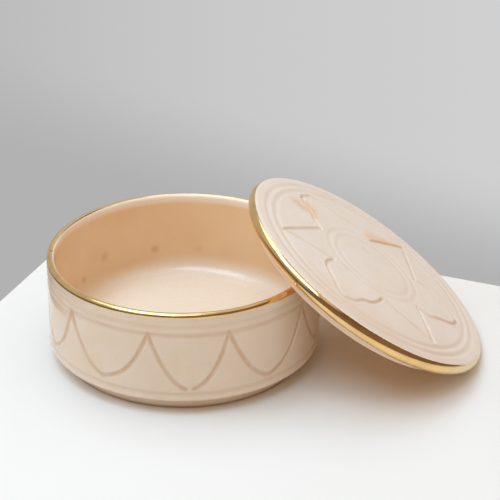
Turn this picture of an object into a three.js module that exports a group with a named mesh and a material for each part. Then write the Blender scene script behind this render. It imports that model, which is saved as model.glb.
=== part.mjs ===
// A round glazed ceramic box with its lid taken off and leaning against it.
// Millimetres, +Z up. The origin lies on the table, under the middle of the set.

import * as THREE from 'three';

// Box
const RIM_RADIUS = 75;
const BOX_HEIGHT = 60.5;
const WALL = 4.1;
const FLOOR_THICKNESS = 4.3;
const FLOOR_FILLET = 9;
const FOOT_INSET = 8;
const FOOT_WIDTH = 6;
const FOOT_HEIGHT = 8.6;
const FOOT_CHAMFER = 0.8;
const RECESS_DEPTH = 7;
const BASE_FILLET = 1.2;

// Ring grooves turned into the clay, and their places
const GROOVE_WIDTH = 3.8;
const GROOVE_FLAT = 1.2;
const GROOVE_DEPTH = 0.6;
const WALL_GROOVES_BELOW_RIM = [12.4, 7.8];
const BASE_GROOVE_ABOVE_FILLET = 3.2;
const BORDER_GROOVES_FROM_EDGE = [8.9, 14.2];
const CENTRE_GROOVE_RADII = [29.4, 23.9];

// Lid
const LID_OVERHANG = 2.9;
const EDGE_THICKNESS = 7.3;
const CROWN = 3.2;
const PLATE_THICKNESS = 6.1;
const FLANGE_PLAY = 3.2;
const FLANGE_WALL = 4;
const FLANGE_DEPTH = 6.1;
const FLANGE_FILLET = 2;

// Gilding, drawn as a thin ring in a shallow rebate of the clay
const GILT = 0.6;
const GILT_CLEARANCE = 0.3;
const RIM_GILT_OUTSIDE = 2.9;
const RIM_GILT_END = THREE.MathUtils.degToRad(150);
const EDGE_GILT_FROM_EDGE = 2.4;

// How the lid leans: its lower edge on the table, its underside on the lip of the box
const LEAN_ANGLE = THREE.MathUtils.degToRad(34.4);
const LEAN_CLEARANCE = 0.3;

// Fineness of the turned surfaces, and of the search for the place where the lid leans
const TURNS = 48;
const ARC_STEPS = 2;
const CROWN_STEP = 14;
const OUTLINE_POINTS = 200;
const LEAN_TOLERANCE = 0.001;

// Places worked out from the sizes above
const lipRadius = WALL / 2;
const lipCentreRadius = RIM_RADIUS - lipRadius;
const lipCentreHeight = BOX_HEIGHT - lipRadius;
const mouthRadius = RIM_RADIUS - WALL;
const floorHeight = RECESS_DEPTH + FLOOR_THICKNESS;
const footOuter = RIM_RADIUS - FOOT_INSET;
const footInner = footOuter - FOOT_WIDTH;
const giltRebate = GILT + GILT_CLEARANCE;
const lidRadius = RIM_RADIUS + LID_OVERHANG;
const edgeRadius = EDGE_THICKNESS / 2;
const edgeCentreRadius = lidRadius - edgeRadius;
const flangeOuter = mouthRadius - FLANGE_PLAY;
const flangeInner = flangeOuter - FLANGE_WALL;
const flangeTip = -EDGE_THICKNESS - FLANGE_DEPTH + FLANGE_WALL / 2;
const giltFaceAngle = Math.acos((edgeRadius - EDGE_GILT_FROM_EDGE) / edgeRadius);

const glazeMaterial = new THREE.MeshStandardMaterial({ color: 0xdccab6, roughness: 0.3, metalness: 0 });
const giltMaterial = new THREE.MeshStandardMaterial({ color: 0xc79a4b, roughness: 0.2, metalness: 1 });

// Turns a profile of radius and height about the upright axis.
function turned(name, profile, material) {
  const geometry = new THREE.LatheGeometry(profile.getPoints(ARC_STEPS), TURNS);
  geometry.rotateX(Math.PI / 2);
  const mesh = new THREE.Mesh(geometry, material.clone());
  mesh.name = name;
  return mesh;
}

// Adds a shallow ring groove to a profile. surface(place, depth) gives the point at that place,
// sunk by that depth, and direction is the way that the profile runs past the groove.
function addGroove(profile, surface, place, direction) {
  const half = (direction * GROOVE_WIDTH) / 2;
  const flat = (direction * GROOVE_FLAT) / 2;
  for (const [offset, depth] of [[-half, 0], [-flat, GROOVE_DEPTH], [flat, GROOVE_DEPTH], [half, 0]]) {
    const [radius, height] = surface(place + offset, depth);
    profile.lineTo(radius, height);
  }
}

// Wall, floor and foot ring in one piece of clay
function boxBody() {
  const wallSurface = (height, depth) => [RIM_RADIUS - depth, height];
  const rebateFoot = BOX_HEIGHT - RIM_GILT_OUTSIDE - GILT_CLEARANCE;
  const rebateEnd = RIM_GILT_END + GILT_CLEARANCE / lipRadius;
  const baseFilletTop = FOOT_HEIGHT + BASE_FILLET;

  const profile = new THREE.Path();
  profile.moveTo(0, RECESS_DEPTH);
  profile.lineTo(footInner, RECESS_DEPTH);
  profile.lineTo(footInner, FOOT_CHAMFER);
  profile.lineTo(footInner + FOOT_CHAMFER, 0);
  profile.lineTo(footOuter - FOOT_CHAMFER, 0);
  profile.lineTo(footOuter, FOOT_CHAMFER);
  profile.lineTo(footOuter, FOOT_HEIGHT);
  profile.absarc(RIM_RADIUS - BASE_FILLET, baseFilletTop, BASE_FILLET, -Math.PI / 2, 0);
  addGroove(profile, wallSurface, baseFilletTop + BASE_GROOVE_ABOVE_FILLET, 1);
  for (const below of WALL_GROOVES_BELOW_RIM) {
    addGroove(profile, wallSurface, BOX_HEIGHT - below, 1);
  }
  profile.lineTo(RIM_RADIUS, rebateFoot);
  profile.lineTo(RIM_RADIUS - giltRebate, rebateFoot);
  profile.absarc(lipCentreRadius, lipCentreHeight, lipRadius - giltRebate, 0, rebateEnd);
  profile.absarc(lipCentreRadius, lipCentreHeight, lipRadius, rebateEnd, Math.PI);
  profile.absarc(mouthRadius - FLOOR_FILLET, floorHeight + FLOOR_FILLET, FLOOR_FILLET, 0, -Math.PI / 2, true);
  profile.lineTo(0, floorHeight);
  return turned('box_body', profile, glazeMaterial);
}

// Gold band over the lip of the box
function boxGilding() {
  const outsideFoot = BOX_HEIGHT - RIM_GILT_OUTSIDE;

  const profile = new THREE.Path();
  profile.moveTo(RIM_RADIUS - GILT, outsideFoot);
  profile.lineTo(RIM_RADIUS, outsideFoot);
  profile.absarc(lipCentreRadius, lipCentreHeight, lipRadius, 0, RIM_GILT_END);
  profile.absarc(lipCentreRadius, lipCentreHeight, lipRadius - GILT, RIM_GILT_END, 0, true);
  profile.lineTo(RIM_RADIUS - GILT, outsideFoot);
  return turned('box_gilt_rim', profile, giltMaterial);
}

// Height of the lid's domed face over the top of its rounded edge
function crownHeight(radius) {
  return CROWN * (1 - (radius / edgeCentreRadius) ** 2);
}

// Outline of the lid's clay: a plate with a domed face, a rounded edge and a locating flange underneath
function lidProfile() {
  const crownSurface = (radius, depth) => [radius, crownHeight(radius) - depth];
  const rebateAngle = giltFaceAngle + GILT_CLEARANCE / edgeRadius;
  const cornerRadius = flangeInner - FLANGE_FILLET;

  const profile = new THREE.Path();
  profile.moveTo(0, -PLATE_THICKNESS);
  profile.lineTo(cornerRadius, -PLATE_THICKNESS);
  profile.absarc(cornerRadius, -PLATE_THICKNESS - FLANGE_FILLET, FLANGE_FILLET, Math.PI / 2, 0, true);
  profile.absarc(flangeOuter - FLANGE_WALL / 2, flangeTip, FLANGE_WALL / 2, Math.PI, 2 * Math.PI);
  profile.lineTo(flangeOuter, -EDGE_THICKNESS);
  profile.lineTo(edgeCentreRadius - GILT_CLEARANCE, -EDGE_THICKNESS);
  profile.lineTo(edgeCentreRadius - GILT_CLEARANCE, -EDGE_THICKNESS + giltRebate);
  profile.absarc(edgeCentreRadius, -edgeRadius, edgeRadius - giltRebate, -Math.PI / 2, rebateAngle);
  profile.absarc(edgeCentreRadius, -edgeRadius, edgeRadius, rebateAngle, Math.PI / 2);
  for (const inset of BORDER_GROOVES_FROM_EDGE) {
    addGroove(profile, crownSurface, lidRadius - inset, -1);
  }
  const border = lidRadius - Math.max(...BORDER_GROOVES_FROM_EDGE) - GROOVE_WIDTH;
  for (let radius = border; radius > Math.max(...CENTRE_GROOVE_RADII) + CROWN_STEP; radius -= CROWN_STEP) {
    profile.lineTo(radius, crownHeight(radius));
  }
  for (const radius of CENTRE_GROOVE_RADII) {
    addGroove(profile, crownSurface, radius, -1);
  }
  profile.lineTo(CROWN_STEP, crownHeight(CROWN_STEP));
  profile.lineTo(0, CROWN);
  return profile;
}

// Gold band round the edge of the lid
function lidGilding() {
  const profile = new THREE.Path();
  profile.absarc(edgeCentreRadius, -edgeRadius, edgeRadius, -Math.PI / 2, giltFaceAngle);
  profile.absarc(edgeCentreRadius, -edgeRadius, edgeRadius - GILT, giltFaceAngle, -Math.PI / 2, true);
  profile.lineTo(edgeCentreRadius, -EDGE_THICKNESS);
  return turned('lid_gilt_band', profile, giltMaterial);
}

// Least distance from the leaning lid to the wall and rounded lip of the box,
// with the middle of the lid at the given distance from the axis of the box
function leanGap(outline, lidX, lidZ) {
  let least = Infinity;
  for (const point of outline) {
    for (let i = 0; i <= OUTLINE_POINTS; i += 1) {
      const turn = (Math.PI * i) / OUTLINE_POINTS;
      const alongSlope = point.x * Math.cos(turn);
      const x = lidX + alongSlope * Math.cos(LEAN_ANGLE) + point.y * Math.sin(LEAN_ANGLE);
      const y = point.x * Math.sin(turn);
      const z = lidZ - alongSlope * Math.sin(LEAN_ANGLE) + point.y * Math.cos(LEAN_ANGLE);
      const sideways = Math.hypot(x, y) - lipCentreRadius;
      const above = Math.max(z - lipCentreHeight, 0);
      least = Math.min(least, Math.hypot(sideways, above) - lipRadius);
    }
  }
  return least;
}

// Slides the leaning lid out from the box until it clears the lip
function leanDistance(outline, lidZ) {
  let near = RIM_RADIUS;
  let far = RIM_RADIUS + 2 * lidRadius;
  while (far - near > LEAN_TOLERANCE) {
    const middle = (near + far) / 2;
    if (leanGap(outline, middle, lidZ) < LEAN_CLEARANCE) {
      near = middle;
    } else {
      far = middle;
    }
  }
  return far;
}

// Height of the middle of the leaning lid, with its lowest point on the table
function leanHeight(outline) {
  const gildedEdge = edgeCentreRadius * Math.sin(LEAN_ANGLE) + edgeRadius * (Math.cos(LEAN_ANGLE) + 1);
  const drops = outline.map((point) => point.x * Math.sin(LEAN_ANGLE) - point.y * Math.cos(LEAN_ANGLE));
  return Math.max(gildedEdge, ...drops);
}

function buildLid() {
  const profile = lidProfile();
  const outline = profile.getSpacedPoints(OUTLINE_POINTS);
  const lidZ = leanHeight(outline);
  const lid = new THREE.Group();
  lid.add(turned('lid_body', profile, glazeMaterial), lidGilding());
  lid.rotation.y = LEAN_ANGLE;
  lid.position.set(leanDistance(outline, lidZ), 0, lidZ);
  return lid;
}

const set = new THREE.Group();
set.add(boxBody(), boxGilding(), buildLid());

// The middle of the set's footprint goes over the origin.
const extent = new THREE.Box3().setFromObject(set, true);
set.position.x = -(extent.min.x + extent.max.x) / 2;

export default set;
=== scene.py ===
"""A round glazed ceramic box with carved scallops and a gilt lip, its carved lid leaning against it."""

import math

import bpy
import numpy as np
from mathutils import Matrix, Vector


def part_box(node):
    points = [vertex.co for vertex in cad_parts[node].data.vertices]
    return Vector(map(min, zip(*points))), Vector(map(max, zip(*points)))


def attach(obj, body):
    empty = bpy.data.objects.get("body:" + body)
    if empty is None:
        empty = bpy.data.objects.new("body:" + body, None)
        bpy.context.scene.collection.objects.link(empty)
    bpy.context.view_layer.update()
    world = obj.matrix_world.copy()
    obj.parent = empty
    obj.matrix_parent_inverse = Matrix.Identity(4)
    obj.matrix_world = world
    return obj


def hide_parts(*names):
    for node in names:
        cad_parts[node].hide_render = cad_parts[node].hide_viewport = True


MM = 0.001

# Sizes in millimetres, as in the part's source
RIM_RADIUS = 75.0
BOX_HEIGHT = 60.5
WALL = 4.1
FOOT_INSET = 8.0
FOOT_WIDTH = 6.0
FOOT_HEIGHT = 8.6
RECESS_DEPTH = 7.0
FLOOR_THICKNESS = 4.3
BASE_FILLET = 1.2
FLOOR_FILLET = 9.0
LID_OVERHANG = 2.9
EDGE_THICKNESS = 7.3
CROWN = 3.2
PLATE_THICKNESS = 6.1
FLANGE_PLAY = 3.2
FLANGE_WALL = 4.0
FLANGE_DEPTH = 6.1
FLANGE_FILLET = 2.0

# Lean of the lid, and the place of its own frame as the part's source works it out
LEAN_ANGLE = math.radians(34.4)
LID_PLACE = (57.192, 0.0, 48.610)

lip_radius = WALL / 2
lip_centre = RIM_RADIUS - lip_radius
lip_height = BOX_HEIGHT - lip_radius
mouth_radius = RIM_RADIUS - WALL
girth_per_degree = math.radians(1) * RIM_RADIUS
foot_outer = RIM_RADIUS - FOOT_INSET
foot_inner = foot_outer - FOOT_WIDTH
floor_height = RECESS_DEPTH + FLOOR_THICKNESS
floor_edge = mouth_radius - FLOOR_FILLET
floor_fillet_top = floor_height + FLOOR_FILLET
edge_radius = EDGE_THICKNESS / 2
edge_centre = RIM_RADIUS + LID_OVERHANG - edge_radius
flange_outer = mouth_radius - FLANGE_PLAY
flange_inner = flange_outer - FLANGE_WALL
flange_tip = -EDGE_THICKNESS - FLANGE_DEPTH

# Small roundings: edges of the foot ring, inside it, between it and the wall, and beside the lid's flange
FOOT_EDGE = 0.9
RECESS_FILLET = 1.5
NECK_FILLET = 1.0
SEAT_FILLET = 0.8

# Points round a ring where the box and the lid are carved and on the gilding, and how many times fewer
# there are where the clay is plain
BOX_TURNS = 800
LID_TURNS = 640
GILT_TURNS = 240
TURN_RATIO = 4

# Where the rings of a piece start, in degrees from +X: at the front, or down the lid's slope
FRONT = -90.0
DOWN_SLOPE = 0.0

# Cross-section of a carved line, in half widths: run of its flanks, and middle and half width of its lips
FLANK_RUN = 0.62
LIP_MIDDLE = 1.3
LIP_HALF = 0.55

# Height in millimetres of the lips that are raised beside a carved line
LIP_RISE = 0.12

# Waves round a hand-made edge, and the power by which the shorter ones weaken
WAVES = range(2, 9)
WAVE_POWER = 0.6


# Shapes


def arc(centre_r, centre_z, radius, start, end, steps):
    """Points of a circular arc in radius and height; angles in degrees, both ends included."""
    angles = np.radians(np.linspace(start, end, steps + 1))
    return [(centre_r + radius * math.cos(a), centre_z + radius * math.sin(a)) for a in angles]


def turns_of(count):
    """Angles of a ring's points from its first one, in radians."""
    return np.arange(count) * (2 * math.pi / count)


def bridge(n, m, first_lower, first_upper):
    """Faces between two rings whose point counts n and m are equal, differ by a whole ratio, or are one."""
    if n == 1:
        return [(first_lower, first_upper + (j + 1) % m, first_upper + j) for j in range(m)]
    if m == 1:
        return [(first_lower + i, first_lower + (i + 1) % n, first_upper) for i in range(n)]
    if n == m:
        return [
            (first_lower + i, first_lower + (i + 1) % n, first_upper + (i + 1) % n, first_upper + i)
            for i in range(n)
        ]
    fine_below = n > m
    coarse, fine = (m, n) if fine_below else (n, m)
    ratio = fine // coarse
    half = ratio // 2
    first_coarse, first_fine = (first_upper, first_lower) if fine_below else (first_lower, first_upper)
    faces = []
    for j in range(coarse):
        here, after = first_coarse + j, first_coarse + (j + 1) % coarse
        run = [first_fine + (j * ratio + k) % fine for k in range(ratio + 1)]
        fans = [(here, run[k], run[k + 1]) for k in range(half)]
        fans.append((here, run[half], after))
        fans += [(after, run[k], run[k + 1]) for k in range(half, ratio)]
        faces += fans if fine_below else [tuple(reversed(f)) for f in fans]
    return faces


class TurnedPiece:
    """A closed mesh made ring by ring, with the strength of each of its marks at every point."""

    def __init__(self, first_turn, marks=()):
        self.first_turn = math.radians(first_turn)
        self.rings = []
        self.marks = {name: [] for name in marks}

    def ring(self, radius, height, count):
        """Points of a ring; the radius and the height may change round it."""
        angle = self.first_turn + turns_of(count)
        return np.stack([radius * np.cos(angle), radius * np.sin(angle), np.zeros(count) + height], 1)

    def add(self, points, **strengths):
        """Add a ring of points; a mark that isn't named has no strength there."""
        self.rings.append(points)
        for name, values in self.marks.items():
            values.append(np.zeros(len(points)) + strengths.get(name, 0.0))

    def add_rings(self, profile, count, **strengths):
        for radius, height in profile:
            self.add(self.ring(radius, height, count), **strengths)

    def add_middle(self, height, **strengths):
        self.add(np.array([[0.0, 0.0, height]]), **strengths)

    def mesh(self, name, matrix, hooped=False):
        """An object whose points lie in the row frame; each point keeps its place in the piece's own frame.
        A hooped piece joins its last ring to its first one."""
        counts = [len(points) for points in self.rings]
        starts = np.cumsum([0] + counts).tolist()
        pairs = [(k, k + 1) for k in range(len(counts) - 1)]
        if hooped:
            pairs.append((len(counts) - 1, 0))
        faces = []
        for lower, upper in pairs:
            faces += bridge(counts[lower], counts[upper], starts[lower], starts[upper])
        points = np.concatenate(self.rings) * MM
        mesh = bpy.data.meshes.new(name)
        mesh.from_pydata(points.tolist(), [], faces)
        mesh.update()
        layer = mesh.attributes.new("place", "FLOAT_VECTOR", "POINT")
        layer.data.foreach_set("vector", points.astype(np.float32).ravel())
        for mark, values in self.marks.items():
            layer = mesh.attributes.new(mark, "FLOAT", "POINT")
            layer.data.foreach_set("value", np.concatenate(values).astype(np.float32))
        mesh.polygons.foreach_set("use_smooth", np.ones(len(mesh.polygons), bool))
        mesh.transform(matrix)
        obj = bpy.data.objects.new(name, mesh)
        bpy.context.scene.collection.objects.link(obj)
        return obj


def ease(share):
    """A smooth step from 0 to 1."""
    x = np.clip(share, 0, 1)
    return x * x * (3 - 2 * x)


def groove(distance, half_width):
    """Depth share, 0 to 1, of a round-bottomed groove at a distance from its middle line."""
    x = np.clip(np.abs(distance) / half_width, 0, 1)
    return 0.5 + 0.5 * np.cos(math.pi * x)


def carved_line(x):
    """Cut and raised lips of a carved line, each 0 to 1, at x half widths from its middle."""
    return ease((1 - np.abs(x)) / FLANK_RUN), groove(np.abs(x) - LIP_MIDDLE, LIP_HALF)


def nearest(points, path):
    """Least distance from each point of the plane to a polyline, and how far along it that is."""
    best = np.full(len(points), np.inf)
    share = np.zeros(len(points))
    steps = len(path) - 1
    for k in range(steps):
        along = path[k + 1] - path[k]
        t = np.clip(((points - path[k]) @ along) / (along @ along), 0, 1)
        d = np.hypot(*(points - path[k] - t[:, None] * along).T)
        closer = d < best
        best[closer] = d[closer]
        share[closer] = (k + t[closer]) / steps
    return best, share


def smooth_path(points, steps=8):
    """A smooth curve through the given points of the plane, with some steps from each to the next."""
    p = np.array(points, float)
    p = np.vstack([2 * p[0] - p[1], p, 2 * p[-1] - p[-2]])
    out = []
    for k in range(1, len(p) - 2):
        slope = p[k + 1] - p[k - 1]
        bend = 2 * p[k - 1] - 5 * p[k] + 4 * p[k + 1] - p[k + 2]
        twist = 3 * p[k] - p[k - 1] - 3 * p[k + 1] + p[k + 2]
        for t in np.linspace(0, 1, steps, endpoint=False):
            out.append(0.5 * (2 * p[k] + slope * t + bend * t**2 + twist * t**3))
    out.append(p[-2])
    return np.array(out)


def waver(turn, seed, size):
    """A slow hand-made unevenness round a turned piece."""
    rng = np.random.default_rng(seed)
    total = np.zeros_like(turn)
    for k in WAVES:
        total += rng.normal() / k**WAVE_POWER * np.sin(k * turn + rng.uniform(0, 2 * math.pi))
    return size * total


# Box

# Turned ring grooves: height of the middle line, half width, depth; and how strongly the pool colour
# darkens them, which is partly glaze pooled in them and partly painted shade
WALL_RINGS = ((48.1, 2.0, 0.60), (52.7, 2.0, 0.34), (13.0, 1.9, 0.50))
WALL_RING_POOL_AND_SHADE = 0.7

# Hanging scallops round the wall, by turns in degrees from the front towards the lid: where each starts,
# where it is lowest, its lowest height, and the gap left uncut there
SCALLOPS = (
    (-51.7, -33.8, 17.6, 0.0),
    (-13.5, 3.2, 15.2, 4.4),
    (19.4, 38.0, 16.4, 0.0),
    (58.5, 76.0, 16.8, 0.0),
    (94.0, 112.0, 17.2, 0.0),
    (130.5, 148.0, 15.8, 2.0),
    (165.0, 183.5, 16.6, 0.0),
    (201.5, 219.5, 17.4, 0.0),
    (237.0, 255.0, 16.0, 3.0),
    (273.5, 291.5, 17.0, 0.0),
)
SCALLOP_TOP = 48.4
SCALLOP_STEPS = 25

# Rise of a scallop's two sides over their reach: share that is straight, and power of the rest
SCALLOP_SIDES = ((0.20, 2.25), (0.30, 3.0))

# Carved lines of the wall: half width, depth, and how far from its middle line a cut can reach
SCALLOP_HALF = 1.55
SCALLOP_DEPTH = 0.55
SCALLOP_REACH = 4.0

# Bare clay under the foot ends in a faint ring at this height
BARE_TOP = 2.2
BARE_TOP_SHARE = 0.15

# Radii of the mesh's rings under the box and on its floor, and the spacing of those up the wall, with
# the margin that they leave below the top
RECESS_RINGS = (15, 30, 45, 55)
FLOOR_RINGS = (60, 58, 56, 54, 52, 50, 46, 42, 34, 26, 18, 10, 4)
WALL_STEP = 0.5
WALL_TOP_MARGIN = 3.0

# Rings down the inside of the wall: height where a stretch ends, and rings in it
INSIDE_STRETCHES = ((53.0, 8), (29.0, 6), (floor_fillet_top, 7))

# Steps over the lip, where the floor's paler cream starts: its angle and its spread
LIP_STEPS = 18
LIP_PALE_START = 80.0
LIP_PALE_SPREAD = 40.0

# The tan inside starts under the lip, at this height and over this fade
TAN_TOP = 58.0
TAN_TOP_FADE = 3.6

# It fades out above the floor, lower down on the side away from the lid: heights and turns
TAN_FADE_TOP = 23.5
TAN_FADE = 11.5
TAN_DROP = 6.5
TAN_DROP_TURN = 250.0
TAN_DROP_SPREAD = 75.0

# On the floor the fade goes on towards the middle, as if the floor fell by this much per millimetre
FLOOR_FALL = 0.5


def box_matrix():
    low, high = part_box("box_body")
    return Matrix.Translation(((low.x + high.x) / 2, (low.y + high.y) / 2, 0))


def scallop_sides():
    """Carved lines of the wall as paths of girth and height."""
    ends = [scallop[0] for scallop in SCALLOPS[1:]] + [SCALLOPS[0][0] + 360]
    paths = []
    for (start, bottom, low, gap), end in zip(SCALLOPS, ends):
        for cusp, (straight, power) in zip((start, end), SCALLOP_SIDES):
            reach = (cusp - bottom) * girth_per_degree
            u = np.linspace(1, gap / 2 / abs(reach), SCALLOP_STEPS + 1)
            rise = (SCALLOP_TOP - low) * (straight * u + (1 - straight) * u**power)
            paths.append(np.stack([bottom * girth_per_degree + reach * u, low + rise], 1))
    return paths


def wall_carving(heights):
    """How far the wall is sunk, and how strong its pool colour is, for each height and turn; in the ring
    grooves that colour is partly glaze pooled there and partly painted shade.
    """
    turns = np.degrees(turns_of(BOX_TURNS))
    cut = np.zeros((len(heights), BOX_TURNS))
    lip = np.zeros((len(heights), BOX_TURNS))
    for path in scallop_sides():
        low, high = path[:, 0].min() - SCALLOP_REACH, path[:, 0].max() + SCALLOP_REACH
        for shift in (-360, 0, 360):
            s = (turns + shift) * girth_per_degree
            cols = np.nonzero((s > low) & (s < high))[0]
            if len(cols) == 0:
                continue
            grid = np.stack(np.meshgrid(s[cols], heights), -1).reshape(-1, 2)
            line, edge = carved_line(nearest(grid, path)[0] / SCALLOP_HALF)
            cut[:, cols] = np.maximum(cut[:, cols], line.reshape(len(heights), -1))
            lip[:, cols] = np.maximum(lip[:, cols], edge.reshape(len(heights), -1))
    sunk = SCALLOP_DEPTH * cut - LIP_RISE * lip * (1 - cut)
    pooled = cut
    # The ring grooves take the pool colour as partly pooled glaze and partly painted shade
    for place, half, depth in WALL_RINGS:
        rounded = groove(heights - place, half)[:, None]
        sunk = np.maximum(sunk, depth * rounded)
        pooled = np.maximum(pooled, WALL_RING_POOL_AND_SHADE * depth * rounded)
    return sunk, pooled


def inside_profile():
    """Inside of the box as radius and height, from below the lip to near the middle of the floor."""
    profile = []
    start = lip_height
    for end, count in INSIDE_STRETCHES:
        profile += [(mouth_radius, z) for z in np.linspace(start, end, count + 1)[1:]]
        start = end
    profile += arc(floor_edge, floor_fillet_top, FLOOR_FILLET, 0, -90, steps=16)[1:]
    return profile + [(r, floor_height) for r in FLOOR_RINGS]


def build_box():
    coarse = BOX_TURNS // TURN_RATIO
    piece = TurnedPiece(FRONT, ("carve", "tan", "bare", "floor"))
    corner = foot_inner - RECESS_FILLET
    recess = [(r, RECESS_DEPTH) for r in RECESS_RINGS + (corner,)]
    recess += arc(corner, RECESS_DEPTH - RECESS_FILLET, RECESS_FILLET, 90, 0, steps=4)[1:]
    piece.add_middle(RECESS_DEPTH)
    piece.add_rings(recess, coarse)
    foot = arc(foot_inner + FOOT_EDGE, FOOT_EDGE, FOOT_EDGE, 180, 270, steps=4)
    foot += arc(foot_outer - FOOT_EDGE, FOOT_EDGE, FOOT_EDGE, 270, 360, steps=4)
    piece.add_rings(foot, coarse, bare=1)
    piece.add_rings([(foot_outer, BARE_TOP)], coarse, bare=BARE_TOP_SHARE)
    neck = arc(foot_outer + NECK_FILLET, FOOT_HEIGHT - NECK_FILLET, NECK_FILLET, 180, 90, steps=4)
    base = arc(RIM_RADIUS - BASE_FILLET, FOOT_HEIGHT + BASE_FILLET, BASE_FILLET, -90, 0, steps=6)
    piece.add_rings(neck + base[:-1], coarse)

    heights = np.arange(FOOT_HEIGHT + BASE_FILLET, BOX_HEIGHT - WALL_TOP_MARGIN, WALL_STEP)
    # The pool strength here is partly painted shade in the ring grooves
    for height, sunk, pooled in zip(heights, *wall_carving(heights)):
        piece.add(piece.ring(RIM_RADIUS - sunk, height, BOX_TURNS), carve=pooled)

    lip = arc(lip_centre, lip_height, lip_radius, 0, 180, LIP_STEPS)
    for angle, place in zip(np.linspace(0, 180, LIP_STEPS + 1), lip):
        piece.add_rings([place], coarse, floor=ease((angle - LIP_PALE_START) / LIP_PALE_SPREAD))

    away = np.degrees(turns_of(coarse)) - TAN_DROP_TURN
    fade_top = TAN_FADE_TOP - TAN_DROP * groove(away, TAN_DROP_SPREAD)
    for r, z in inside_profile():
        level = z - FLOOR_FALL * max(floor_edge - r, 0)
        below_lip = ease((TAN_TOP - z) / TAN_TOP_FADE)
        near_floor = ease((fade_top - level) / TAN_FADE)
        piece.add_rings([(r, z)], coarse, tan=below_lip * (1 - near_floor), floor=1)
    piece.add_middle(floor_height, floor=1)
    return piece.mesh("box_clay", box_matrix())


# Lid

# Turned ring grooves: radius of the middle line, half width, depth; and how strongly they hold glaze
LID_RINGS = ((69.1, 2.65, 0.50), (63.8, 2.65, 0.50), (29.4, 2.6, 0.27), (23.9, 2.6, 0.27))
LID_RING_POOL = 0.6

# Star: strength of the carved line at its start and end, and points of the line down the slope and across
STAR = (
    # straight ray
    (0.6, 0.85, ((-34.4, 6.8), (-58.6, -18.9))),
    (0.8, 0.5, ((-58.6, -18.9), (-27.5, -22.0))),
    # waved ray
    (1.1, 0.7, ((-27.5, -22.8), (-31.3, -28.6), (-31.8, -34.0), (-29.8, -40.2), (-27.0, -46.6),
                (-24.8, -52.6), (-21.0, -56.6))),
    (0.6, 1.1, ((-21.0, -56.6), (-14.4, -54.6), (-11.0, -50.9), (-8.4, -48.3), (-3.8, -45.9),
                (0.2, -41.9), (4.0, -34.5))),
    # straight ray
    (0.5, 0.6, ((4.0, -34.3), (37.8, -45.9))),
    (1.2, 0.8, ((37.8, -45.9), (28.8, -17.9))),
    # waved ray
    (0.6, 1.2, ((29.4, -18.6), (37.2, -18.9), (41.6, -16.8), (44.4, -14.4), (48.0, -12.4),
                (53.0, -9.9), (56.6, -6.6), (59.0, -1.6))),
    (0.5, 0.5, ((59.0, -1.6), (56.9, 3.6), (53.2, 6.9), (48.2, 9.4), (44.6, 11.6), (41.8, 14.2),
                (37.6, 16.2), (30.6, 15.4))),
    # straight ray
    (0.9, 1.0, ((30.6, 15.4), (26.3, 53.4))),
    (0.8, 0.8, ((26.3, 53.4), (0.8, 31.2))),
    # waved ray
    (0.5, 0.6, ((0.8, 31.2), (-4.4, 38.0), (-9.8, 39.8), (-16.4, 40.2), (-22.8, 43.2), (-30.6, 46.4),
                (-39.4, 45.2))),
    (0.7, 0.8, ((-39.4, 45.2), (-44.6, 38.6), (-44.0, 31.2), (-41.4, 26.0), (-39.8, 20.6),
                (-38.2, 13.8), (-34.4, 6.8))),
)

# Carved lines of the star: half width, depth, and radii between which they lie
STAR_HALF = 1.45
STAR_DEPTH = 0.85
STAR_INNER = 28.0
STAR_OUTER = 64.0

# Marks on the lid's glaze: half width, strength, and points of the mark; nicks are sunk by this much
SMUDGES = (
    (6.4, 1.0, ((-49.4, 25.0), (-46.8, 22.4), (-44.0, 21.0))),
    (4.6, 1.0, ((-44.3, 31.7), (-41.3, 27.9), (-38.9, 26.0))),
    (4.2, 1.0, ((-38.9, 26.0), (-38.5, 20.7), (-38.3, 18.6))),
    (5.4, 1.0, ((0.0, 35.6), (7.2, 40.0), (13.0, 45.4))),
    (3.0, 0.6, ((13.0, 45.4), (21.9, 51.8))),
    (4.4, 0.5, ((-0.4, 41.6), (4.0, 41.4))),
)
BLUSH = ((34.0, 0.34, ((-30.0, -68.0), (10.0, -74.0), (45.0, -60.0))),)
NICKS = (
    (1.3, 0.8, ((-46.0, 36.6), (-44.8, 38.0))),
    (0.9, 0.5, ((-44.8, 38.0), (-39.4, 43.4))),
    (1.8, 0.25, ((-5.4, 14.2), (-3.2, 12.4))),
)
NICK_DEPTH = 0.15

# Radii of the rings on the plain underside, at the edge, over the carved face by start, end and step,
# and inside it, where the last few are coarse
PLATE_RINGS = (15, 30, 45, 57)
FACE_EDGE = 72.6
FACE_EDGE_RINGS = 4
FACE_STRETCHES = ((72.2, 60.8, 0.45), (60.4, 33.0, 0.5), (32.8, 20.6, 0.6))
FACE_INNER = (19, 17, 15)
FACE_MIDDLE = (12, 8, 4)

# The tan of the underside fades round the flange's tip: angle, spread, and what stays outside and on the
# seat, whose ring lies this far outside the flange
TIP_STEPS = 12
TIP_PALE_START = 225.0
TIP_PALE_SPREAD = 90.0
FLANGE_TAN = 0.4
SEAT_TAN = 0.3
SEAT_RING = 2.0


def lid_matrix():
    return Matrix.Translation(Vector(LID_PLACE) * MM) @ Matrix.Rotation(LEAN_ANGLE, 4, "Y")


def crown_height(r):
    """Height of the lid's domed face."""
    return CROWN * (1 - (r / edge_centre) ** 2)


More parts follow.
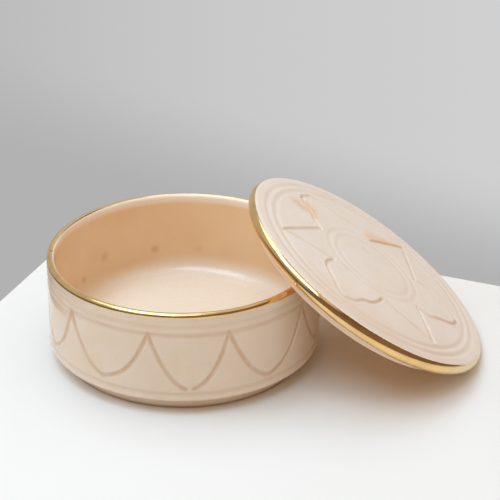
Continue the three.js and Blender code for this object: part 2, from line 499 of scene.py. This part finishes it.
def lid_carving(points):
    """How far the lid's face is sunk, and how strongly its glaze has pooled, at each point of the plane."""
    r = np.hypot(points[:, 0], points[:, 1])
    cut = np.zeros(len(points))
    lip = np.zeros(len(points))
    near = (r > STAR_INNER) & (r < STAR_OUTER)
    for start, end, path in STAR:
        distance, share = nearest(points[near], smooth_path(path))
        line, edge = carved_line(distance / STAR_HALF)
        strength = start + (end - start) * share
        cut[near] = np.maximum(cut[near], strength * line)
        lip[near] = np.maximum(lip[near], strength * edge)
    uncut = 1 - np.minimum(cut, 1)
    sunk = STAR_DEPTH * cut - LIP_RISE * lip * uncut
    pooled = cut
    for place, half, depth in LID_RINGS:
        rounded = groove(r - place, half)
        sunk = sunk + depth * rounded * uncut
        pooled = np.maximum(pooled, LID_RING_POOL * depth * rounded)
    return sunk, pooled


def lid_marks(points, marks):
    """Strength of the given marks at each point of the plane."""
    total = np.zeros(len(points))
    for half, strength, path in marks:
        distance = nearest(points, np.array(path, float))[0]
        total = np.maximum(total, strength * groove(distance, half))
    return total


def build_lid():
    coarse = LID_TURNS // TURN_RATIO
    piece = TurnedPiece(DOWN_SLOPE, ("carve", "tan", "blush", "smudge", "nick"))
    corner = flange_inner - FLANGE_FILLET
    plate = [(r, -PLATE_THICKNESS) for r in PLATE_RINGS + (corner,)]
    plate += arc(corner, -PLATE_THICKNESS - FLANGE_FILLET, FLANGE_FILLET, 90, 0, steps=6)[1:]
    piece.add_middle(-PLATE_THICKNESS, tan=1)
    piece.add_rings(plate, coarse, tan=1)
    tip_radius = FLANGE_WALL / 2
    tip = arc(flange_inner + tip_radius, flange_tip + tip_radius, tip_radius, 180, 360, TIP_STEPS)
    for angle, place in zip(np.linspace(180, 360, TIP_STEPS + 1), tip):
        outside = ease((angle - TIP_PALE_START) / TIP_PALE_SPREAD)
        piece.add_rings([place], coarse, tan=1 - (1 - FLANGE_TAN) * outside)
    under = -EDGE_THICKNESS
    seat = arc(flange_outer + SEAT_FILLET, under - SEAT_FILLET, SEAT_FILLET, 180, 90, steps=3)
    piece.add_rings(seat, coarse, tan=FLANGE_TAN)
    piece.add_rings([(flange_outer + SEAT_RING, under)], coarse, tan=SEAT_TAN)
    piece.add_rings(arc(edge_centre, -edge_radius, edge_radius, -90, 90, steps=24)[:-1], coarse)

    radii = np.linspace(edge_centre, FACE_EDGE, FACE_EDGE_RINGS).tolist()
    for start, end, step in FACE_STRETCHES:
        radii += np.arange(start, end, -step).tolist()
    for r in radii + list(FACE_INNER):
        points = piece.ring(r, crown_height(r), LID_TURNS)
        flat = points[:, :2]
        sunk, pooled = lid_carving(flat)
        blush, smudge, nick = (lid_marks(flat, marks) for marks in (BLUSH, SMUDGES, NICKS))
        points[:, 2] -= sunk + NICK_DEPTH * nick
        piece.add(points, carve=pooled, blush=blush, smudge=smudge, nick=nick)
    for r in FACE_MIDDLE:
        points = piece.ring(r, crown_height(r), coarse)
        piece.add(points, nick=lid_marks(points[:, :2], NICKS))
    piece.add_middle(CROWN)
    return piece.mesh("lid_clay", lid_matrix())


# Gilding

# Steps over a coat, depth of its root in the clay, how far its edges are sunk and over how many rings
# at its start and its end, and rise of its skin
GILT_STEPS = 22
GILT_ROOT = 0.3
GILT_EDGE_SINK = 0.01
GILT_START_RINGS = 1
GILT_END_RINGS = 2
RIM_GILT_SKIN = 0.04
LID_GILT_SKIN = 0.03

# Lip of the box: angle over the rounded lip where the gilding starts, then turns from the front with the
# angles where it ends, and seed and size of the waver of both edges
RIM_GILT_START = -6.0
RIM_GILT_TURNS = (0, 90, 150, 180, 195, 210, 230, 250, 270, 320, 360)
RIM_GILT_ENDS = (125, 120, 112, 116, 115, 130, 147, 145, 132, 124, 125)
RIM_GILT_WAVERS = ((11, 0.03), (12, 0.03))

# Edge of the lid: the same, with the turns from the low end of the slope
LID_GILT_START = -84.0
LID_GILT_TURNS = (0, 30, 70, 120, 190, 235, 252, 268, 300, 316, 330, 345, 360)
LID_GILT_ENDS = (34, 36, 50, 58, 60, 60, 70, 79, 83, 79, 62, 40, 34)
LID_GILT_WAVERS = ((21, 0.04), (22, 0.02))


def gilt_coat(name, matrix, centre_r, centre_z, radius, skin, start, ends, wavers):
    """A thin gilt coat over a rounded edge: its skin outside, its root in the clay; angles in degrees."""
    turns = turns_of(GILT_TURNS)
    starts = math.radians(start) + waver(turns, *wavers[0])
    reach = np.radians(ends) + waver(turns, *wavers[1]) - starts
    steps = np.arange(GILT_STEPS + 1)
    lifts = np.full(len(steps), skin)
    lifts[:GILT_START_RINGS] = -GILT_EDGE_SINK
    lifts[-GILT_END_RINGS:] = -GILT_EDGE_SINK
    roots = np.full(len(steps), -GILT_ROOT)
    piece = TurnedPiece(FRONT)
    for step, lift in zip(np.append(steps, steps[::-1]), np.append(lifts, roots)):
        angle = starts + reach * (step / GILT_STEPS)
        r = centre_r + (radius + lift) * np.cos(angle)
        z = centre_z + (radius + lift) * np.sin(angle)
        piece.add(piece.ring(r, z, GILT_TURNS))
    return piece.mesh(name, matrix, hooped=True)


def build_box_gilding():
    ends = np.interp(np.degrees(turns_of(GILT_TURNS)), RIM_GILT_TURNS, RIM_GILT_ENDS)
    edge = (lip_centre, lip_height, lip_radius)
    return gilt_coat(
        "box_gilding", box_matrix(), *edge, RIM_GILT_SKIN, RIM_GILT_START, ends, RIM_GILT_WAVERS
    )


def build_lid_gilding():
    from_slope = (np.degrees(turns_of(GILT_TURNS)) + FRONT - DOWN_SLOPE) % 360
    ends = np.interp(from_slope, LID_GILT_TURNS, LID_GILT_ENDS)
    edge = (edge_centre, -edge_radius, edge_radius)
    return gilt_coat(
        "lid_gilding", lid_matrix(), *edge, LID_GILT_SKIN, LID_GILT_START, ends, LID_GILT_WAVERS
    )


# Materials

CREAM = (0.82, 0.75, 0.685, 1)
CREAM_WARM = (0.80, 0.715, 0.63, 1)
BOX_CREAM = (0.745, 0.645, 0.535, 1)
BOX_WARM = (0.735, 0.617, 0.485, 1)
FLOOR_CREAM = (0.92, 0.82, 0.695, 1)
PEACH = (0.72, 0.53, 0.38, 1)
# Pool colour of the box: glaze pooled in the carved lines, and partly painted shade in the ring grooves
POOL_AND_RING_SHADE = (0.60, 0.42, 0.27, 1)
TAN = (0.82, 0.585, 0.36, 1)
TAN_DEEP = (0.80, 0.545, 0.32, 1)
UNDER = (0.95, 0.61, 0.33, 1)
UNDER_DEEP = (0.93, 0.58, 0.30, 1)
BISQUE = (0.40, 0.28, 0.20, 1)
ORANGE = (0.66, 0.36, 0.16, 1)
APRICOT = (0.79, 0.52, 0.32, 1)
GREY_BROWN = (0.26, 0.19, 0.13, 1)
GOLD = (0.96, 0.64, 0.28, 1)
GOLD_DULL = (0.84, 0.55, 0.25, 1)
GOLD_PALE = (0.84, 0.70, 0.48, 1)

# Roughness where a surface is smoothest and dullest: glossy on the box, satin on the lid
BOX_GLOSS = (0.05, 0.11)
LID_GLOSS = (0.28, 0.34)
GOLD_GLOSS = (0.08, 0.2)
BISQUE_ROUGHNESS = 0.8
GLAZE_IOR = 1.56

# Patterns of noise: scale per metre, detail, roughness, and the noise where they start and are full
CLOUD = (60, 4, 0.55, 0.35, 0.68)
STREAK = (380, 3, 0.5, 0.5, 0.75)
GRAIN = (700, 3, 0.6, 0.35, 0.75)
POOLING = (150, 2, 0.5, 0.25, 0.7)
TAN_CLOUD = (40, 3, 0.5, 0.3, 0.7)
BLOTCH = (420, 3, 0.5, 0.3, 0.62)
GLOSS_CLOUD = (300, 3, 0.5, 0.3, 0.7)
GOLD_CLOUD = (90, 3, 0.5, 0.35, 0.7)
GOLD_GLOSS_CLOUD = (400, 3, 0.5, 0.3, 0.75)

# Rings left on the floor by turning: scale per metre, detail, and the noise where they start and are full
TURNED_LINES = (420, 2, 0.45, 0.7)

# Share of each pattern in the colour, at its weakest and strongest; streaks are drawn out along the axis
STREAK_SHARE = (0.0, 0.08)
STREAK_STRETCH = (1, 1, 0.12)
GRAIN_SHARE = (0.0, 0.16)
POOL_SHARE = (0.5, 0.9)
BLOTCH_SHARE = (0.7, 1.0)
LINE_SHARE = 0.07
LINE_RELIEF = 0.3

# Unevenness of a surface: scale per metre and detail of its noise, strength, and height in metres
GLAZE_BUMP = (240, 3, 0.1, 0.0004)
GOLD_BUMP = (160, 2, 0.08, 0.0003)

# Firing spots inside the box, and worn places and a pit in the gilding: place in the piece's own frame and
# radius in millimetres, and strength
BOX_SPOTS = (
    ((-18.8, 68.4, 26.6), 4.0, 0.85),
    ((-47.6, 52.5, 29.5), 4.8, 0.5),
    ((-58.6, 39.8, 21.1), 3.2, 0.6),
    ((7.5, 70.5, 25.5), 3.6, 0.3),
)
GILT_WORN = (((-50.0, 50.0, 60.0), 75.0, 0.6), ((59.0, -46.0, -2.0), 32.0, 0.6))
RIM_PIT = ((-72.1, -0.9, 60.35), 1.6, 0.95)


class Nodes:
    """Short ways to add nodes to one material and link them."""

    def __init__(self, name):
        self.material = bpy.data.materials.new(name)
        self.material.use_nodes = True
        self.tree = self.material.node_tree
        self.shader = self.tree.nodes["Principled BSDF"]

    def add(self, kind, **values):
        node = self.tree.nodes.new(kind)
        for key, value in values.items():
            setattr(node, key, value)
        return node

    def link(self, source, target):
        self.tree.links.new(source, target)

    def feed(self, socket, value):
        """Set a socket to a plain number or colour, or link it to another node's output."""
        if isinstance(value, (tuple, int, float)):
            socket.default_value = value
        else:
            self.link(value, socket)

    def attribute(self, name, output="Fac"):
        return self.add("ShaderNodeAttribute", attribute_name=name).outputs[output]

    def noise(self, coords, scale, detail, roughness=0.5):
        node = self.add("ShaderNodeTexNoise")
        node.inputs["Scale"].default_value = scale
        node.inputs["Detail"].default_value = detail
        node.inputs["Roughness"].default_value = roughness
        self.link(coords, node.inputs["Vector"])
        return node.outputs["Fac"]

    def ramp(self, value, low, high, to_low=0.0, to_high=1.0):
        node = self.add("ShaderNodeMapRange", interpolation_type="SMOOTHSTEP")
        for key, number in (("From Min", low), ("From Max", high), ("To Min", to_low), ("To Max", to_high)):
            node.inputs[key].default_value = number
        self.link(value, node.inputs["Value"])
        return node.outputs["Result"]

    def pattern(self, coords, look, share=(0.0, 1.0)):
        scale, detail, roughness, start, full = look
        return self.ramp(self.noise(coords, scale, detail, roughness), start, full, *share)

    def mix(self, factor, a, b):
        """Mix two colours."""
        node = self.add("ShaderNodeMix", data_type="RGBA")
        for socket, value in ((node.inputs[0], factor), (node.inputs[6], a), (node.inputs[7], b)):
            self.feed(socket, value)
        return node.outputs[2]

    def blend(self, factor, a, b):
        """Mix two numbers."""
        node = self.add("ShaderNodeMix", data_type="FLOAT")
        for socket, value in ((node.inputs[0], factor), (node.inputs[2], a), (node.inputs[3], b)):
            self.feed(socket, value)
        return node.outputs[0]

    def math(self, operation, a, b):
        node = self.add("ShaderNodeMath", operation=operation)
        for socket, value in zip(node.inputs, (a, b)):
            self.feed(socket, value)
        return node.outputs[0]

    def stretched(self, coords, scale):
        node = self.add("ShaderNodeVectorMath", operation="MULTIPLY")
        node.inputs[1].default_value = scale
        self.link(coords, node.inputs[0])
        return node.outputs["Vector"]

    def turned_lines(self, coords, look):
        """Uneven rings round the axis, as turning leaves them."""
        scale, detail, start, full = look
        reach = self.add("ShaderNodeVectorMath", operation="LENGTH")
        self.link(self.stretched(coords, (1, 1, 0)), reach.inputs[0])
        node = self.add("ShaderNodeTexNoise", noise_dimensions="1D")
        node.inputs["Scale"].default_value = scale
        node.inputs["Detail"].default_value = detail
        self.link(reach.outputs["Value"], node.inputs["W"])
        return self.ramp(node.outputs["Fac"], start, full)

    def spot(self, coords, place, radius, strength):
        """How strongly a round mark shows at a point: full at its middle, none beyond its radius."""
        node = self.add("ShaderNodeVectorMath", operation="DISTANCE")
        node.inputs[1].default_value = tuple(c * MM for c in place)
        self.link(coords, node.inputs[0])
        return self.ramp(node.outputs["Value"], 0.0, radius * MM, strength, 0.0)

    def bump(self, height, strength, distance):
        node = self.add("ShaderNodeBump")
        node.inputs["Strength"].default_value = strength
        node.inputs["Distance"].default_value = distance
        self.link(height, node.inputs["Height"])
        self.link(node.outputs["Normal"], self.shader.inputs["Normal"])


def glaze_material(name, pale, warm, pooled, tan, tan_deep, gloss, spots):
    n = Nodes(name)
    coords = n.attribute("place", "Vector")
    colour = n.mix(n.pattern(coords, CLOUD), pale, warm)
    floor = n.attribute("floor")
    colour = n.mix(floor, colour, FLOOR_CREAM)
    lines = n.math("MULTIPLY", floor, n.turned_lines(coords, TURNED_LINES))
    colour = n.mix(n.math("MULTIPLY", lines, LINE_SHARE), colour, PEACH)
    colour = n.mix(n.pattern(n.stretched(coords, STREAK_STRETCH), STREAK, STREAK_SHARE), colour, PEACH)
    colour = n.mix(n.pattern(coords, GRAIN, GRAIN_SHARE), colour, PEACH)
    colour = n.mix(n.attribute("blush"), colour, PEACH)
    # Pool colour in the carved lines; in the box's ring grooves it is partly painted shade
    pool = n.math("MULTIPLY", n.attribute("carve"), n.pattern(coords, POOLING, POOL_SHARE))
    colour = n.mix(pool, colour, pooled)
    colour = n.mix(n.attribute("tan"), colour, n.mix(n.pattern(coords, TAN_CLOUD), tan, tan_deep))
    for spot in spots:
        colour = n.mix(n.spot(coords, *spot), colour, ORANGE)
    smudge = n.math("MULTIPLY", n.attribute("smudge"), n.pattern(coords, BLOTCH, BLOTCH_SHARE))
    colour = n.mix(smudge, colour, APRICOT)
    colour = n.mix(n.attribute("nick"), colour, GREY_BROWN)
    bare = n.attribute("bare")
    n.link(n.mix(bare, colour, BISQUE), n.shader.inputs["Base Color"])
    roughness = n.blend(bare, n.pattern(coords, GLOSS_CLOUD, gloss), BISQUE_ROUGHNESS)
    n.link(roughness, n.shader.inputs["Roughness"])
    n.shader.inputs["IOR"].default_value = GLAZE_IOR
    scale, detail, strength, distance = GLAZE_BUMP
    relief = n.math("ADD", n.noise(coords, scale, detail), n.math("MULTIPLY", lines, LINE_RELIEF))
    n.bump(relief, strength, distance)
    return n.material


def gold_material():
    n = Nodes("gold lustre")
    coords = n.attribute("place", "Vector")
    colour = n.mix(n.pattern(coords, GOLD_CLOUD), GOLD, GOLD_DULL)
    for worn in GILT_WORN:
        colour = n.mix(n.spot(coords, *worn), colour, GOLD_PALE)
    colour = n.mix(n.spot(coords, *RIM_PIT), colour, GREY_BROWN)
    n.link(colour, n.shader.inputs["Base Color"])
    n.shader.inputs["Metallic"].default_value = 1.0
    n.link(n.pattern(coords, GOLD_GLOSS_CLOUD, GOLD_GLOSS), n.shader.inputs["Roughness"])
    scale, detail, strength, distance = GOLD_BUMP
    n.bump(n.noise(coords, scale, detail), strength, distance)
    return n.material


# Stage

# White plinth: its far corner, directions of the two sides that meet there, sizes in millimetres
PLINTH_CORNER = (-103.5, 174.0)
PLINTH_LEFT = (-0.388, -0.922)
PLINTH_RIGHT = (0.922, -0.388)
PLINTH_SIDE = 1400.0
PLINTH_HEIGHT = 900.0
PLINTH_WHITE = (0.84, 0.845, 0.84, 1)
PLINTH_SIDE_WHITE = (0.66, 0.80, 0.96, 1)
PLINTH_ROUGHNESS = 0.5

# Dark card round the camera's side: sizes in millimetres, turns from the front in degrees
CARD_RADIUS = 1600.0
CARD_HEIGHT = 2300.0
CARD_TURNS = (-35.0, 136.0)
CARD_STEPS = 24
CARD_BROWN = (0.24, 0.19, 0.15, 1)
CARD_ROUGHNESS = 0.9

# Camera: place in millimetres, its own axes, and its lens, sensor and clipping
CAMERA_PLACE = (-19.030, -969.994, 548.107)
CAMERA_RIGHT = (0.999955, -0.008995, 0.002925)
CAMERA_UP = (0.001428, 0.449289, 0.893385)
CAMERA_FORWARD = (0.009351, 0.893341, -0.449282)
LENS = 142.77
SENSOR = 36.0
CLIP = (0.01, 50.0)

# Backdrop from left to right over its half width, its lower part, the dark floor below, and the fill light
BACKDROP = ((0.0, 0.505), (0.25, 0.555), (0.5, 0.592), (1.0, 0.631))
BACKDROP_HALF = 0.125
BACKDROP_LOW = (0.445, 0.445, 0.445, 1)
BACKDROP_DARK = (0.15, 0.15, 0.15, 1)
FILL = (0.637, 0.41, 0.235, 1)

# Where the lower part and the dark floor of the backdrop fade into what is above, and how those fades tilt
LOW_FADE = (0.012, 0.074)
LOW_TILT = 0.27
DARK_FADE = (-0.25, -0.09)
DARK_TILT = 0.35

# Lamps: name, place and target in metres, width, height, power, and whether reflections show them
LAMP_COLOUR = (0.56, 0.81, 1.0)
LAMPS = (
    ("key", (-0.42, -0.45, 1.36), (0, 0, 0.03), 1.2, 0.8, 10.4, True),
    ("key back", (-0.42, 0.35, 1.36), (0, 0, 0.03), 1.2, 0.8, 5.2, True),
    ("ceiling", (0.6, 0.10, 1.6), (0, 0, 0.0), 2.4, 2.6, 12.0, False),
    ("window", (-1.5, -0.1, 0.6), (0, 0, 0.03), 0.8, 0.8, 5.2, False),
)


def plain_material(name, colour, roughness):
    material = bpy.data.materials.new(name)
    material.use_nodes = True
    shader = material.node_tree.nodes["Principled BSDF"]
    shader.inputs["Base Color"].default_value = colour
    shader.inputs["Roughness"].default_value = roughness
    return material


def stage_mesh(name, verts, faces, material):
    mesh = bpy.data.meshes.new(name)
    mesh.from_pydata([tuple(c * MM for c in v) for v in verts], [], faces)
    mesh.update()
    obj = bpy.data.objects.new(name, mesh)
    obj.data.materials.append(material)
    bpy.context.scene.collection.objects.link(obj)
    return obj


def build_plinth():
    corner = np.array(PLINTH_CORNER)
    left = np.array(PLINTH_LEFT) * PLINTH_SIDE
    right = np.array(PLINTH_RIGHT) * PLINTH_SIDE
    corners = (corner, corner + left, corner + left + right, corner + right)
    verts = [(x, y, z) for z in (0.0, -PLINTH_HEIGHT) for x, y in corners]
    faces = [(0, 1, 2, 3)] + [(k, k + 4, (k + 1) % 4 + 4, (k + 1) % 4) for k in range(4)]
    top_white = plain_material("white plinth", PLINTH_WHITE, PLINTH_ROUGHNESS)
    plinth = stage_mesh("plinth", verts, faces, top_white)
    plinth.data.materials.append(plain_material("plinth side", PLINTH_SIDE_WHITE, PLINTH_ROUGHNESS))
    for side in plinth.data.polygons[1:]:
        side.material_index = 1


def build_dark_card():
    """A dark curved card round the camera's side, which the gold shows as its dark side."""
    turns = np.radians(np.linspace(*CARD_TURNS, CARD_STEPS + 1))
    plan = [(CARD_RADIUS * math.sin(a), -CARD_RADIUS * math.cos(a)) for a in turns]
    verts = [(x, y, z) for z in (0.0, CARD_HEIGHT) for x, y in plan]
    faces = [(k, k + 1, k + CARD_STEPS + 2, k + CARD_STEPS + 1) for k in range(CARD_STEPS)]
    card = stage_mesh("dark card", verts, faces, plain_material("dark card", CARD_BROWN, CARD_ROUGHNESS))
    card.visible_camera = False
    card.visible_shadow = False
    card.visible_diffuse = False


def build_world():
    """A grey backdrop seen directly and in reflections, and a warm fill light for everything else."""
    world = bpy.data.worlds.new("grey studio")
    bpy.context.scene.world = world
    world.use_nodes = True
    tree = world.node_tree
    link = tree.links.new
    coords = tree.nodes.new("ShaderNodeTexCoord").outputs["Generated"]

    def along(direction):
        node = tree.nodes.new("ShaderNodeVectorMath")
        node.operation = "DOT_PRODUCT"
        node.inputs[1].default_value = direction
        link(coords, node.inputs[0])
        return node.outputs["Value"]

    def spread(value, low, high, interpolation="SMOOTHSTEP"):
        node = tree.nodes.new("ShaderNodeMapRange")
        node.interpolation_type = interpolation
        node.inputs["From Min"].default_value = low
        node.inputs["From Max"].default_value = high
        link(value, node.inputs["Value"])
        return node.outputs["Result"]

    def blend(factor, dark, light):
        node = tree.nodes.new("ShaderNodeMix")
        node.data_type = "RGBA"
        link(factor, node.inputs[0])
        for socket, value in ((node.inputs[6], dark), (node.inputs[7], light)):
            if isinstance(value, tuple):
                socket.default_value = value
            else:
                link(value, socket)
        return node.outputs[2]

    def either(a, b):
        node = tree.nodes.new("ShaderNodeMath")
        node.operation = "MAXIMUM"
        link(a, node.inputs[0])
        link(b, node.inputs[1])
        return node.outputs[0]

    right, up = Vector(CAMERA_RIGHT), Vector(CAMERA_UP)
    shade = tree.nodes.new("ShaderNodeValToRGB")
    elements = shade.color_ramp.elements
    while len(elements) < len(BACKDROP):
        elements.new(0.5)
    for element, (place, level) in zip(elements, BACKDROP):
        element.position = place
        element.color = (level, level, level, 1)
    link(spread(along(right), -BACKDROP_HALF, BACKDROP_HALF, "LINEAR"), shade.inputs["Fac"])
    wall = blend(spread(along(up + LOW_TILT * right), *LOW_FADE), BACKDROP_LOW, shade.outputs["Color"])
    wall = blend(spread(along(up + DARK_TILT * right), *DARK_FADE), BACKDROP_DARK, wall)

    rays = tree.nodes.new("ShaderNodeLightPath").outputs
    seen = either(either(rays["Is Camera Ray"], rays["Is Glossy Ray"]), rays["Is Transmission Ray"])
    background = tree.nodes["Background"]
    link(blend(seen, FILL, wall), background.inputs["Color"])
    background.inputs["Strength"].default_value = 1.0


def add_lamp(name, place, target, width, height, power, reflected):
    data = bpy.data.lights.new(name, "AREA")
    data.color = LAMP_COLOUR
    data.shape = "RECTANGLE"
    data.size = width
    data.size_y = height
    data.energy = power
    obj = bpy.data.objects.new(name, data)
    obj.location = place
    aim = Vector(target) - Vector(place)
    obj.rotation_euler = aim.to_track_quat("-Z", "Y").to_euler()
    obj.visible_glossy = reflected
    bpy.context.scene.collection.objects.link(obj)


def build_camera():
    data = bpy.data.cameras.new("camera")
    data.sensor_fit = "HORIZONTAL"
    data.sensor_width = SENSOR
    data.lens = LENS
    data.clip_start, data.clip_end = CLIP
    obj = bpy.data.objects.new("camera", data)
    right, up, back = Vector(CAMERA_RIGHT), Vector(CAMERA_UP), -Vector(CAMERA_FORWARD)
    turn = Matrix((right, up, back)).transposed().to_4x4()
    obj.matrix_world = Matrix.Translation(Vector(CAMERA_PLACE) * MM) @ turn
    bpy.context.scene.collection.objects.link(obj)
    bpy.context.scene.camera = obj


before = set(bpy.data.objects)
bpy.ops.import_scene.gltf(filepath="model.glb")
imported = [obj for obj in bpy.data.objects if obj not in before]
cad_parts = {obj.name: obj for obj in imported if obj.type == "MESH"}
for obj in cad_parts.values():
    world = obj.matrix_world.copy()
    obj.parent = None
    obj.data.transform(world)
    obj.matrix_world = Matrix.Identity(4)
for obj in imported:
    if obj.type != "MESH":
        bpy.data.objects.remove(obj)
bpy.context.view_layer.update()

box_glaze = glaze_material("box glaze", BOX_CREAM, BOX_WARM, POOL_AND_RING_SHADE, TAN, TAN_DEEP, BOX_GLOSS, BOX_SPOTS)
lid_glaze = glaze_material("lid glaze", CREAM, CREAM_WARM, PEACH, UNDER, UNDER_DEEP, LID_GLOSS, ())
gold = gold_material()

for build, material, body, node, slot in (
    (build_box, box_glaze, "box", "box_body", "glaze"),
    (build_box_gilding, gold, "box", "box_gilt_rim", "gilding"),
    (build_lid, lid_glaze, "lid", "lid_body", "glaze"),
    (build_lid_gilding, gold, "lid", "lid_gilt_band", "gilding"),
):
    piece = build()
    piece.data.materials.append(material)
    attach(piece, body)
    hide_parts(node)

build_plinth()
build_dark_card()
build_world()
for lamp in LAMPS:
    add_lamp(*lamp)
build_camera()
bpy.context.scene.view_settings.view_transform = "Standard"
